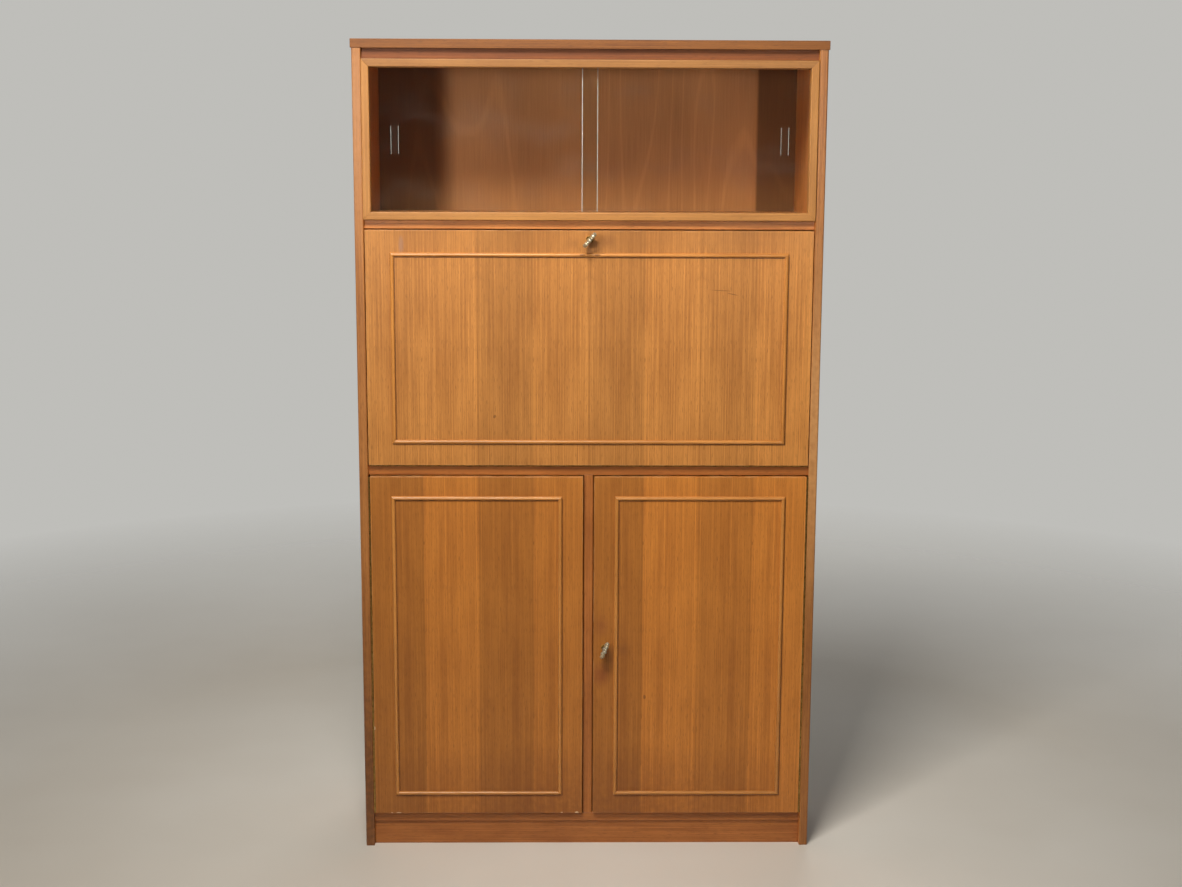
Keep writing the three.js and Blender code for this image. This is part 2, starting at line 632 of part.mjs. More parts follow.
const doorKey = new THREE.Vector3(doorInner + DOOR_LOCK_BACKSET, 0, doorLockZ);
const catchX = -doorInner - CATCH.fromEdge;
const catchY = PANEL * 0.6;
const doorSpan = { left: [-doorOuter, -doorInner], right: [doorInner, doorOuter] };
const doorCuts = {
  left: [bar('z', doorBottom - PAST, doorBottom + CATCH.depth, CATCH.radius + CATCH.fit, [catchX, catchY, 0])],
  right: lockCuts(doorKey, DOOR_LOCK_BACKSET, -Math.PI / 2),
};
for (const name of ['left', 'right']) {
  const span = doorSpan[name];
  add(`door_${name}`, cut(block(span, [0, PANEL], [doorBottom, doorTop]), ...doorCuts[name]), teakVeneer);
  add(`door_${name}_bead`, beadRing(span, [doorBottom, doorTop], BEAD_MARGIN.door), teakVeneer);
  const side = name === 'left' ? -1 : 1;
  pianoHinge(`door_${name}`, {
    length: doorTop - doorBottom - 2 * HINGE.endGap, halfGap: DOOR_GAP.outer / 2, width: DOOR_HINGE_WIDTH, fixedSide: side,
  }, (hinge) => hinge.position.set(side * doorHingeX, DOOR_HINGE_Y, doorBottom + HINGE.endGap));
}
lockSet('door', doorKey, DOOR_LOCK_BACKSET, -Math.PI / 2, DOOR_KEY_TILT);

// A sprung ball in a barrel let into the left door's lower edge, just above the bottom board.
const catchProfile = [[0, CATCH.height], [CATCH.radius, CATCH.height], [CATCH.radius, 0], [CATCH.ball, 0]];
const ballSteps = 4;
for (let i = 1; i <= ballSteps; i += 1) {
  const angle = (i / ballSteps) * (Math.PI / 2);
  catchProfile.push([Math.max(CATCH.ball * Math.cos(angle), 0), -CATCH.ballDrop * Math.sin(angle)]);
}
const ballCatch = new THREE.LatheGeometry(catchProfile.reverse().map(([r, h]) => new THREE.Vector2(r, h)), 16);
ballCatch.rotateX(Math.PI / 2).translate(catchX, catchY, doorBottom);
add('ball_catch', ballCatch, brass);

// ---------------------------------------------------------------- writing compartment

// The raised floor is level with the opened flap.
add('desk_floor_liner', block(
  [-innerHalf, innerHalf], [PANEL + LINER_GAP, backFace], [DESK_FLOOR_TOP, openFlapTop],
), teakInside);

const fitmentTop = openFlapTop + FITMENT.height;
add('fitment_shelf', block(
  [-FITMENT.halfWidth, FITMENT.halfWidth],
  [FITMENT.front, backFace - FITMENT.backGap],
  [fitmentTop, fitmentTop + FITMENT.board],
), teakInside);
const uprightPlaces = {
  left: -FITMENT.halfWidth + FITMENT.board / 2,
  centre: 0,
  right: FITMENT.halfWidth - FITMENT.board / 2,
};
for (const [name, x] of Object.entries(uprightPlaces)) {
  add(`fitment_upright_${name}`, block(
    [x - FITMENT.board / 2, x + FITMENT.board / 2],
    [FITMENT.front + FITMENT.uprightSetback, backFace - FITMENT.backGap],
    [openFlapTop, fitmentTop],
  ), teakInside);
}

// An open-topped box, its sides and back lower than its front; the knob is a separate turned piece.
for (const [name, side] of [['left', -1], ['right', 1]]) {
  const span = [
    side * (FITMENT.board / 2 + DRAWER.side),
    side * (FITMENT.halfWidth - FITMENT.board - DRAWER.side),
  ].sort((a, b) => a - b);
  const front = FITMENT.front + DRAWER.setback;
  const back = backFace - DRAWER.behind;
  const [low, high] = [openFlapTop + DRAWER.below, fitmentTop - DRAWER.above];
  add(`drawer_${name}`, cut(
    block(span, [front, back], [low, high]),
    block(
      [span[0] + DRAWER.wall, span[1] - DRAWER.wall],
      [front + DRAWER.front, back - DRAWER.wall],
      [low + DRAWER.base, high + PAST],
    ),
    block([span[0] - PAST, span[1] + PAST], [front + DRAWER.front, backFace], [high - DRAWER.dip, high + PAST]),
  ), teakInside);
  const knob = new THREE.LatheGeometry(KNOB.map(([r, h]) => new THREE.Vector2(r, h)), 20);
  knob.rotateX(Math.PI);
  knob.translate((span[0] + span[1]) / 2, front, (low + high) / 2);
  add(`drawer_knob_${name}`, knob, brass);
}

export default secretaryDesk;
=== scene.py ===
"""Looks of the tall secretary desk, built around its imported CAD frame.

Lengths are in metres, +Z is up and the front of the desk faces -Y.
"""
import json
import math
import random

import bmesh
import bpy
from mathutils import Euler, Matrix, Vector


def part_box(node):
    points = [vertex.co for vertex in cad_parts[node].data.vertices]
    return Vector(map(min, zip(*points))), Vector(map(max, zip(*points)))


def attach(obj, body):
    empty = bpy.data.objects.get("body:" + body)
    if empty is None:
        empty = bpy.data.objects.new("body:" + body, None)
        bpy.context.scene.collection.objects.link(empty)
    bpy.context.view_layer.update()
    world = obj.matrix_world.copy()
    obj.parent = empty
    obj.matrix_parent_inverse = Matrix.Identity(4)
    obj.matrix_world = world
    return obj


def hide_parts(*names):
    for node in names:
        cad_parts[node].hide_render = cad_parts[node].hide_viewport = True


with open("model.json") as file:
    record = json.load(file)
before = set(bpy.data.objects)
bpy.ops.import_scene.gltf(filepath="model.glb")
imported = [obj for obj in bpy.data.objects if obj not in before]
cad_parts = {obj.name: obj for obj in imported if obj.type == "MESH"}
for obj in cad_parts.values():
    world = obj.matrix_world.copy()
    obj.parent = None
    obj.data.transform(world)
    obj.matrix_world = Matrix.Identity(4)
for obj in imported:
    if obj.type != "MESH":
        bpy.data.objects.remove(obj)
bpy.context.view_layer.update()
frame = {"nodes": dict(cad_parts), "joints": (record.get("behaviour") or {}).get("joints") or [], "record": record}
nodes = frame["nodes"]
MM = 0.001


# ---------------------------------------------------------------- places, from the frame

FLAP_LOW, FLAP_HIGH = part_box("flap_panel")
FRONT = FLAP_LOW.y                                   # front plane of the flap, the doors and the sides
INNER = -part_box("frame_left")[0].x                   # half the width between the side panels
JOINT_AT = {joint["name"]: Vector(joint["pos_m"]) for joint in frame["joints"] if "pos_m" in joint}
BODY_OF = {name: body for body, names in frame["record"]["behaviour"]["bodies"].items() for name in names}


# ---------------------------------------------------------------- camera and light

CAMERA_AT = Vector((-0.057, -4.063, 1.661))
CAMERA_TURN = 0.91                                   # degrees to the right
CAMERA_DOWN = 10.57
CAMERA_ROLL = 0.26
LENS = 54.97                                         # millimetres
SENSOR_WIDTH = 36

WARM, NEUTRAL = (1.0, 0.965, 0.92), (1.0, 0.99, 0.975)
SEEN_BACKDROP = (0.52, 0.515, 0.49, 1)
LIGHTING_BACKDROP = (0.03, 0.0297, 0.0285, 1)


def make_camera():
    data = bpy.data.cameras.new("camera")
    data.lens = LENS
    data.sensor_width = SENSOR_WIDTH
    camera = bpy.data.objects.new("camera", data)
    aim = Euler((math.radians(90 - CAMERA_DOWN), 0, math.radians(-CAMERA_TURN))).to_matrix()
    aim = aim @ Matrix.Rotation(math.radians(CAMERA_ROLL), 3, "Z")
    camera.matrix_world = Matrix.Translation(CAMERA_AT) @ aim.to_4x4()
    bpy.context.scene.collection.objects.link(camera)
    bpy.context.scene.camera = camera


def softbox(name, place, target, size, power, colour, spread=180):
    """A rectangular light aimed at a target; power in watts, spread in degrees."""
    data = bpy.data.lights.new(name, "AREA")
    data.shape = "RECTANGLE"
    data.size, data.size_y = size
    data.energy = power
    data.color = colour
    data.spread = math.radians(spread)
    light = bpy.data.objects.new(name, data)
    light.location = place
    light.rotation_euler = (Vector(target) - Vector(place)).to_track_quat("-Z", "Y").to_euler()
    bpy.context.scene.collection.objects.link(light)


def make_studio():
    softbox("top_light", (-0.55, -2.0, 3.3), (0, FRONT, 1.15), (1.0, 0.8), 48, WARM, 130)
    softbox("left_light", (-1.24, -2.2, 1.7), (0, FRONT, 1.6), (0.2, 0.3), 4.1, NEUTRAL, 85)
    softbox("right_light", (0.88, -2.2, 1.65), (0, FRONT, 1.6), (0.12, 0.3), 1.5, NEUTRAL, 85)
    softbox("front_fill", (0.3, -6.0, 3.6), (0, FRONT, 1.2), (3.0, 1.4), 2, NEUTRAL)
    softbox("back_fill", (0.6, 4.5, 3.0), (0, 0, 0.9), (2.5, 2.0), 60, NEUTRAL)
    world = bpy.data.worlds.new("studio")
    world.use_nodes = True
    tree = world.node_tree
    seen, lit = tree.nodes["Background"], tree.nodes.new("ShaderNodeBackground")
    seen.inputs["Color"].default_value = SEEN_BACKDROP
    lit.inputs["Color"].default_value = LIGHTING_BACKDROP
    mixed = tree.nodes.new("ShaderNodeMixShader")
    tree.links.new(tree.nodes.new("ShaderNodeLightPath").outputs["Is Camera Ray"], mixed.inputs[0])
    tree.links.new(lit.outputs[0], mixed.inputs[1])
    tree.links.new(seen.outputs[0], mixed.inputs[2])
    tree.links.new(mixed.outputs[0], tree.nodes["World Output"].inputs["Surface"])
    bpy.context.scene.world = world
    bpy.context.scene.view_settings.view_transform = "Standard"


# ---------------------------------------------------------------- shader graphs

def linear(red, green, blue):
    """A linear colour from 0-255 display values."""
    def channel(value):
        value /= 255
        return value / 12.92 if value <= 0.04045 else ((value + 0.055) / 1.055) ** 2.4
    return (channel(red), channel(green), channel(blue))


class Graph:
    """A material under construction. Inputs are given by name: a socket is linked, a value is set."""

    def __init__(self, name):
        self.material = bpy.data.materials.new(name)
        self.material.use_nodes = True
        self.tree = self.material.node_tree
        self.tree.nodes.clear()

    def add(self, kind, inputs=None, **settings):
        node = self.tree.nodes.new("ShaderNode" + kind)
        for key, value in settings.items():
            setattr(node, key, value)
        for key, value in (inputs or {}).items():
            if isinstance(value, bpy.types.NodeSocket):
                self.tree.links.new(value, node.inputs[key])
            else:
                node.inputs[key].default_value = value
        return node

    def math(self, operation, *values):
        return self.add("Math", dict(enumerate(values)), operation=operation).outputs[0]

    def place(self):
        return self.add("TexCoord").outputs["Object"]

    def noise(self, place, stretch, detail=2.0, roughness=0.5, distortion=0.0):
        """Noise whose grains are 1/stretch metres long on each axis."""
        scaled = self.add("VectorMath", {0: place, 1: stretch}, operation="MULTIPLY").outputs[0]
        texture = self.add("TexNoise", {
            "Vector": scaled,
            "Scale": 1.0,
            "Detail": detail,
            "Roughness": roughness,
            "Distortion": distortion,
        })
        return texture.outputs[0]

    def between(self, value, low, high, to_low=0.0, to_high=1.0):
        node = self.add("MapRange", {0: value, 1: low, 2: high, 3: to_low, 4: to_high}, clamp=True)
        return node.outputs[0]

    def ramp(self, value, stops, interpolation="LINEAR"):
        node = self.add("ValToRGB", {"Fac": value})
        node.color_ramp.interpolation = interpolation
        elements = node.color_ramp.elements
        while len(elements) > 1:
            elements.remove(elements[-1])
        elements[0].position, elements[0].color = stops[0]
        for position, colour in stops[1:]:
            elements.new(position).color = colour
        return node.outputs["Color"]

    def mix(self, factor, first, second, blend="MIX"):
        node = self.add("Mix", data_type="RGBA", blend_type=blend)
        for key, value in (("Factor", factor), ("A", first), ("B", second)):
            for socket in node.inputs:
                if socket.name == key and socket.type == ("VALUE" if key == "Factor" else "RGBA"):
                    if isinstance(value, bpy.types.NodeSocket):
                        self.tree.links.new(value, socket)
                    else:
                        socket.default_value = value
        return next(socket for socket in node.outputs if socket.type == "RGBA")

    def tinted(self, colour, factor):
        """A colour multiplied by a number."""
        grey = self.add("CombineColor", {0: factor, 1: factor, 2: factor}).outputs[0]
        return self.mix(1.0, colour, grey, "MULTIPLY")

    def bump(self, height, distance, strength):
        return self.add("Bump", {"Height": height, "Distance": distance, "Strength": strength}).outputs[0]

    def finish(self, shader):
        output = self.add("OutputMaterial")
        self.tree.links.new(shader, output.inputs["Surface"])
        return self.material


# ---------------------------------------------------------------- wood

AXES = {"x": 0, "y": 1, "z": 2}
BEAD_WIDTH = 9 * MM
BEAD_HEIGHT = 5 * MM
LEAF_WIDTH = INNER / 4                               # eight veneer leaves across the front
# Tone of each leaf from left to right. The flap's and the doors' tones were not chosen by hand: they
# are the photo's brightness leaf by leaf, corrected by a fitting program, so they carry painted
# light along with the leaves' own tones, rising towards the right. PLAIN_TONES is invented.
FLAP_TONES = (0.96, 1.00, 0.85, 0.97, 0.87, 1.04, 0.97, 1.12)
DOOR_TONES = (0.86, 1.13, 0.87, 1.05, 0.89, 1.24, 1.05, 1.28)
PLAIN_TONES = (1.02, 0.97, 1.04, 0.98, 1.0, 1.03, 0.96, 1.01)
STREAKS, BANDS, CLOUDS, GOLD = 1.6, 0.6, 0.8, 0.26   # how strongly each layer of figure shows
# The third of these is the strength of the painted shade at the beads' feet.
PORE_DARKNESS, WEAR, BEAD_SHADE, STAIN = 0.5, 0.3, 0.7, 0.55
INNER_PALENESS = 1.85                                # inner faces against outer faces of a side panel

WORN_EDGE = linear(226, 176, 118)
BARE_WOOD = linear(236, 205, 160)
# Colour of the painted shade at the beads' feet.
BEAD_SHADE_COLOUR = linear(70, 36, 14)
DARK_STAIN = linear(84, 44, 18)


def stretched(along, across, lengthwise):
    """Grains per metre: `across` on two axes and `lengthwise` on the fibre's axis."""
    stretch = [across] * 3
    stretch[AXES[along]] = lengthwise
    return stretch


def leaf_matched(g, place, side, tones):
    """Veneer leaves side by side, every other one turned over.

    Returns the place within a leaf and the tone of the leaf there.
    """
    parts = g.add("SeparateXYZ", {0: place})
    from_edge = g.math("ADD", parts.outputs[AXES[side]], INNER)
    turned = g.math("PINGPONG", from_edge, LEAF_WIDTH)
    joined = g.add("CombineXYZ", {axis: parts.outputs[axis] for axis in range(3)})
    g.tree.links.new(turned, joined.inputs[AXES[side]])
    across = g.math("DIVIDE", from_edge, 2 * INNER)
    stops = [(i / len(tones), (tone / 2,) * 3 + (1,)) for i, tone in enumerate(tones)]
    tone = g.math("MULTIPLY", g.ramp(across, stops, "CONSTANT"), 2.0)
    return joined.outputs[0], tone


def mark(g, place, centre, radii, turn):
    """1 inside a small ragged ellipsoid, 0 outside."""
    ragged = g.noise(place, (900, 900, 900), 1.0)
    local = g.add("Mapping", {
        "Vector": place, "Location": centre, "Rotation": (0, turn, 0), "Scale": radii,
    }, vector_type="TEXTURE")
    reach = g.add("VectorMath", {0: local.outputs[0]}, operation="LENGTH").outputs["Value"]
    return g.between(g.math("ADD", reach, ragged), 1.35, 1.55, 1.0, 0.0)


def soft_patch(g, place, centre, radii):
    """1 in the middle of a soft, cloudy ellipsoid, fading to 0 at its skin."""
    local = g.add("Mapping", {"Vector": place, "Location": centre, "Scale": radii}, vector_type="TEXTURE")
    reach = g.add("VectorMath", {0: local.outputs[0]}, operation="LENGTH").outputs["Value"]
    clouds = g.between(g.noise(place, (70, 70, 70), 3.0), 0.3, 0.6, 0.5, 1.0)
    return g.math("MULTIPLY", g.between(reach, 0.25, 1.0, 1.0, 0.0), clouds)


def worn_rim(g, place, low, high):
    """1 on the arrises of a panel's front, broken up by noise, 0 elsewhere."""
    parts = g.add("SeparateXYZ", {0: place})
    gaps = []
    for axis in (0, 2):
        gaps.append(g.math("SUBTRACT", parts.outputs[axis], low[axis]))
        gaps.append(g.math("SUBTRACT", high[axis], parts.outputs[axis]))
    nearest = gaps[0]
    for gap in gaps[1:]:
        nearest = g.math("MINIMUM", nearest, gap)
    rim = g.between(nearest, 0.5 * MM, 2.5 * MM, 1.0, 0.0)
    broken = g.between(g.noise(place, (35, 35, 35), 3.0), 0.42, 0.62)
    return g.math("MULTIPLY", rim, broken)


def bead_foot_shade(g, place, low, high):
    """1 in the corner along the lower or right-hand foot of each bead of a ring: painted shade on the side away
    from the light.
    """
    parts = g.add("SeparateXYZ", {0: place})
    half_bead = BEAD_WIDTH / 2
    reach = []
    for axis, shift in ((0, half_bead), (2, -half_bead)):
        middle, half = (low[axis] + high[axis]) / 2 + shift, (high[axis] - low[axis]) / 2 - half_bead
        off_middle = g.math("ABSOLUTE", g.math("SUBTRACT", parts.outputs[axis], middle))
        reach.append(g.math("SUBTRACT", off_middle, half))
    foot = g.math("ABSOLUTE", g.math("MAXIMUM", *reach))
    broken = g.between(g.noise(place, (60, 60, 60), 2.0), 0.25, 0.55, 0.6, 1.0)
    return g.math("MULTIPLY", g.between(foot, 1.0 * MM, 2.6 * MM, 1.0, 0.0), broken)


def shades(middle, spread):
    """The palest and the deepest shade around a middle one; the deep one is redder."""
    pale = tuple(c * (1 + spread * k) for c, k in zip(middle, (0.30, 0.36, 0.46)))
    deep = tuple(c * (1 - spread * k) for c, k in zip(middle, (0.32, 0.40, 0.48)))
    return pale + (1,), deep + (1,)


def wood(name, colour, along, leaf=None, tones=PLAIN_TONES, spread=1.0, rim=None, bead=None,
         chips=(), stains=(), grime_and_shading=(), paler_within=None, roughness=0.42):
    """Oiled teak with its fibres along one axis: streaks, bands, soft clouds and pores.

    leaf is the axis across which the veneer leaves lie, rim is a panel's (low, high) box whose
    edges are worn, bead is the box of a bead ring with painted shade along its lower and right-hand
    feet, chips and stains are marks, grime_and_shading are (centre, radii, colour, strength) of soft
    patches of grime and of painted light and shade, and paler_within is half the width of a space
    whose inner faces are made paler.
    """
    g = Graph(name)
    place = g.place()
    tone = None
    grain_place = place
    if leaf:
        grain_place, tone = leaf_matched(g, place, leaf, tones)
    streak = g.noise(grain_place, stretched(along, 450, 4.0), 4.0, 0.72)
    band = g.noise(grain_place, stretched(along, 120, 1.6), 2.0, 0.5)
    cloud = g.noise(grain_place, stretched(along, 15, 7.0), 3.0, 0.6, 0.3)
    pore = g.between(g.noise(grain_place, stretched(along, 900, 60), 1.0), 0.6, 0.72)
    gold = g.between(g.noise(grain_place, stretched(along, 260, 1.3), 1.0), 0.6, 0.7)
    value = g.math("MULTIPLY_ADD", g.math("SUBTRACT", streak, 0.5), STREAKS, 0.48)
    value = g.math("MULTIPLY_ADD", g.math("SUBTRACT", band, 0.5), BANDS, value)
    value = g.math("MULTIPLY_ADD", g.math("SUBTRACT", cloud, 0.5), CLOUDS, value)
    value = g.math("MULTIPLY_ADD", gold, GOLD, value)
    pale, deep = shades(colour, spread)
    shade = g.ramp(value, [(0.1, deep), (0.5, colour + (1,)), (0.9, pale)])
    dark = tuple(channel * 0.5 for channel in deep[:3]) + (1,)
    shade = g.mix(g.math("MULTIPLY", pore, PORE_DARKNESS), shade, dark)
    if tone:
        shade = g.tinted(shade, tone)
    # The inner faces, nearer the middle than the given half width, are made paler by INNER_PALENESS.
    if paler_within:
        off_middle = g.math("ABSOLUTE", g.add("SeparateXYZ", {0: place}).outputs[0])
        from_face, to_face = paler_within + 0.2 * MM, paler_within + 0.4 * MM
        shade = g.tinted(shade, g.between(off_middle, from_face, to_face, INNER_PALENESS, 1.0))
    if rim:
        shade = g.mix(g.math("MULTIPLY", worn_rim(g, place, *rim), WEAR), shade, WORN_EDGE + (1,))
    # Painted shade along the lower and right-hand feet of the bead ring.
    if bead:
        shade = g.mix(g.math("MULTIPLY", bead_foot_shade(g, place, *bead), BEAD_SHADE), shade, BEAD_SHADE_COLOUR + (1,))
    # Soft patches of hand grime, and of painted light and shade.
    for centre, radii, tint, strength in grime_and_shading:
        shade = g.mix(g.math("MULTIPLY", soft_patch(g, place, centre, radii), strength), shade, tint + (1,))
    for centre, radii, turn in chips:
        shade = g.mix(mark(g, place, centre, radii, turn), shade, BARE_WOOD + (1,))
    for centre, radii, turn in stains:
        here = g.math("MULTIPLY", mark(g, place, centre, radii, turn), STAIN)
        shade = g.mix(here, shade, DARK_STAIN + (1,))
    relief = g.math("MULTIPLY_ADD", pore, -0.8, g.math("MULTIPLY", streak, 0.6))
    shader = g.add("BsdfPrincipled", {
        "Base Color": shade,
        "Roughness": g.between(streak, 0.3, 0.7, roughness + 0.08, roughness - 0.06),
        "Normal": g.bump(relief, 0.1 * MM, 0.5),
    })
    return g.finish(shader.outputs[0])


# ---------------------------------------------------------------- metal, glass, board and floor

def metal(name, colour, roughness, tarnish, lines=(0, 0, 0), hollows=None, purity=1.0):
    """Metal with tarnish clouds.

    lines is the grain of drawn metal in grains per metre on each axis, and hollows is the
    colour put in the recesses of a casting, partly tarnish and partly painted shade. A purity
    below 1 mixes in the dull, pale body of a lacquered surface.
    """
    g = Graph(name)
    place = g.place()
    cloud = g.between(g.noise(place, (120, 120, 120), 4.0, 0.6), 0.42, 0.66)
    fine = g.noise(place, tuple(count or 900 for count in lines), 3.0)
    colour_here = g.mix(g.math("MULTIPLY", cloud, 0.6), colour + (1,), tarnish + (1,))
    # Near-black in the hollows, found by pointiness: partly tarnish, partly painted shade.
    if hollows:
        hollow = g.between(g.add("NewGeometry").outputs["Pointiness"], 0.485, 0.53, 1.0, 0.0)
        colour_here = g.mix(g.math("MULTIPLY", hollow, 0.92), colour_here, hollows + (1,))
    polish = g.between(fine, 0.3, 0.7, roughness - 0.05, roughness + 0.06)
    shader = g.add("BsdfPrincipled", {
        "Base Color": colour_here,
        "Metallic": purity,
        "Roughness": g.math("MULTIPLY_ADD", cloud, 0.16, polish),
        "Normal": g.bump(fine, 0.02 * MM, 0.35),
    })
    return g.finish(shader.outputs[0])


HEAD_ON, AT_GRAZING = 0.03, 0.9                      # share of light that the glass mirrors


def pane_glass(name, pane_low, pane_high, pull_low, pull_high):
    """Clear float glass with pale ground edges and a ground finger pull; the pull's two pale lips are painted
    highlights, and a pale band along each vertical edge is partly frost, partly painted highlight.
    """
    g = Graph(name)
    coordinates = g.add("TexCoord")
    place = coordinates.outputs["Object"]
    parts = g.add("SeparateXYZ", {0: place})
    to_edge = g.math(
        "MINIMUM",
        g.math("SUBTRACT", parts.outputs[0], pane_low[0]),
        g.math("SUBTRACT", pane_high[0], parts.outputs[0]),
    )
    # A pale band along each vertical edge: partly the ground edge's frost, partly painted highlight.
    edge_frost_and_glint = g.between(to_edge, 1.0 * MM, 1.3 * MM, 1.0, 0.0)
    facing = g.add("SeparateXYZ", {0: coordinates.outputs["Normal"]})
    wall = g.between(g.math("ABSOLUTE", facing.outputs[1]), 0.6, 0.8, 1.0, 0.0)
    inside = []
    for axis in (0, 2):
        inside.append(g.math("GREATER_THAN", parts.outputs[axis], pull_low[axis]))
        inside.append(g.math("LESS_THAN", parts.outputs[axis], pull_high[axis]))
    pull = inside[0]
    for other in inside[1:]:
        pull = g.math("MULTIPLY", pull, other)
    middle = (pull_low[0] + pull_high[0]) / 2
    half = (pull_high[0] - pull_low[0]) / 2
    off_middle = g.math("ABSOLUTE", g.math("SUBTRACT", parts.outputs[0], middle))
    # Two pale lines at the pull's walls: painted highlights of its lit edges.
    lip = g.math("MULTIPLY", pull, g.between(off_middle, half - 1.1 * MM, half - 0.8 * MM))
    speckle = g.between(g.noise(place, (2500, 2500, 2500), 2.0), 0.3, 0.7, 0.0, 0.01)
    white = g.between(g.noise(place, (7, 7, 12), 4.0, 0.6), 0.5, 0.8, 0.0, 0.012)
    for zone, strength in ((lip, 0.24), (pull, speckle), (edge_frost_and_glint, 0.5), (wall, 0.12)):
        white = g.math("MAXIMUM", white, g.math("MULTIPLY", zone, strength))
    clear = g.add("BsdfTransparent", {"Color": (0.95, 0.965, 0.955, 1)}).outputs[0]
    mirror = g.add("BsdfGlossy", {"Color": (1, 1, 1, 1), "Roughness": 0.0}).outputs[0]
    grazing = g.math("POWER", g.add("LayerWeight", {"Blend": 0.5}).outputs["Facing"], 5.0)
    ground = g.math("MAXIMUM", wall, pull)
    mirrored = g.math("MULTIPLY_ADD", grazing, AT_GRAZING, HEAD_ON)
    gloss = g.math("MULTIPLY", mirrored, g.math("SUBTRACT", 1.0, ground))
    surface = g.add("MixShader", {0: gloss, 1: clear, 2: mirror}).outputs[0]
    pale = g.add("BsdfDiffuse", {"Color": (0.78, 0.86, 0.8, 1)}).outputs[0]
    shader = g.add("MixShader", {0: white, 1: surface, 2: pale}).outputs[0]
    return g.finish(shader)


LIGHTER_FROM, LIGHTER_TO = -329 * MM, 395 * MM           # the lighter stretch of the back board; its ends carry painted shadow and less bleached veneer
VITRINE_FLOOR_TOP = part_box("vitrine_floor")[1].z


def back_board(name, colour):
    """Veneered plywood: veneer with pale growth lines inside, a plain brown sheet on the wall side.

    In the vitrine the veneer is darker near the side panels: partly painted shadow of the side panels, partly
    veneer that less daylight has bleached.
    """
    g = Graph(name)
    coordinates = g.add("TexCoord")
    place = coordinates.outputs["Object"]
    rear = g.between(g.add("SeparateXYZ", {0: coordinates.outputs["Normal"]}).outputs[1], 0.4, 0.6)
    figure = g.noise(place, (5.5, 5.5, 0.8), 1.0, 0.3, 0.15)
    rings = g.math("SINE", g.math("MULTIPLY", figure, 60.0))
    lines = g.between(rings, 0.9, 1.0)
    streak = g.noise(place, (420, 420, 8), 3.0, 0.6)
    cloud = g.noise(place, (6, 6, 4), 2.0)
    value = g.math("MULTIPLY_ADD", g.math("SUBTRACT", streak, 0.5), 0.6, 0.5)
    value = g.math("MULTIPLY_ADD", g.math("SUBTRACT", cloud, 0.5), 0.8, value)
    value = g.math("MULTIPLY_ADD", rings, 0.03, g.math("MULTIPLY_ADD", lines, 0.16, value))
    pale, deep = shades(colour, 1.0)
    veneer = g.ramp(value, [(0.1, deep), (0.5, colour + (1,)), (0.9, pale)])
    parts = g.add("SeparateXYZ", {0: place})
    across = parts.outputs[0]
    # Painted shadow near the side panels, partly less bleached veneer; none below the vitrine floor.
    shadow_and_fade = g.math(
        "MULTIPLY",
        g.between(across, LIGHTER_FROM - 30 * MM, LIGHTER_FROM + 25 * MM, 0.36, 1.0),
        g.between(across, LIGHTER_TO - 3 * MM, LIGHTER_TO + 3 * MM, 1.0, 0.42),
    )
    shadow_and_fade = g.math("MAXIMUM", shadow_and_fade, g.math("LESS_THAN", parts.outputs[2], VITRINE_FLOOR_TOP))
    veneer = g.tinted(veneer, shadow_and_fade)
    fibre = g.noise(place, (260, 260, 40), 4.0, 0.7)
    sheet = g.ramp(fibre, [(0.25, linear(104, 78, 52) + (1,)), (0.75, linear(146, 114, 80) + (1,))])
    shader = g.add("BsdfPrincipled", {
        "Base Color": g.mix(rear, veneer, sheet),
        "Roughness": g.between(rear, 0.0, 1.0, 0.5, 0.8),
        "Normal": g.bump(g.math("ADD", fibre, streak), 0.1 * MM, 0.5),
    })
    return g.finish(shader.outputs[0])


def studio_floor(name):
    """A pale matt floor that runs out into the backdrop's tone away from the desk."""
    g = Graph(name)
    place = g.place()
    cloud = g.noise(place, (1.2, 1.2, 1.2), 3.0)
    grit = g.noise(place, (220, 220, 220), 2.0)
    colour = g.ramp(cloud, [(0.3, linear(222, 214, 200) + (1,)), (0.7, linear(232, 226, 214) + (1,))])
    shader = g.add("BsdfPrincipled", {
        "Base Color": colour,
        "Roughness": g.between(grit, 0.3, 0.7, 0.6, 0.75),
        "Normal": g.bump(grit, 0.1 * MM, 0.3),
    })
    distance = g.add("VectorMath", {0: place}, operation="LENGTH").outputs["Value"]
    gone = g.between(distance, 1.4, 3.6)
    clear = g.add("BsdfTransparent").outputs[0]
    return g.finish(g.add("MixShader", {0: gone, 1: shader.outputs[0], 2: clear}).outputs[0])


# ---------------------------------------------------------------- finishes of the desk

TEAK = linear(186, 122, 56)
# The flap's teak made darker and redder for the doors: painted shade, as less light reaches them.
DOOR_TEAK_IN_SHADE = linear(177, 109, 41)
# Paler than the flap's teak: a painted highlight on the beads.
LIT_BEAD = linear(196, 130, 62)
SIDE = linear(163, 104, 50)
EDGE = linear(170, 102, 45)
VITRINE_EDGE = linear(194, 124, 62)
TOP = linear(129, 75, 19)
TOP_RAIL = linear(122, 64, 14)
FRAME = linear(180, 122, 58)
FRAME_TOP = linear(158, 106, 50)
INSIDE = linear(173, 112, 55)
BACK = linear(190, 124, 62)

DOOR_LOW, DOOR_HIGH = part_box("door_left")
RIGHT_LOW, RIGHT_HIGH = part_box("door_right")


def on_front(x, z):
    return Vector((x, FRONT, z))


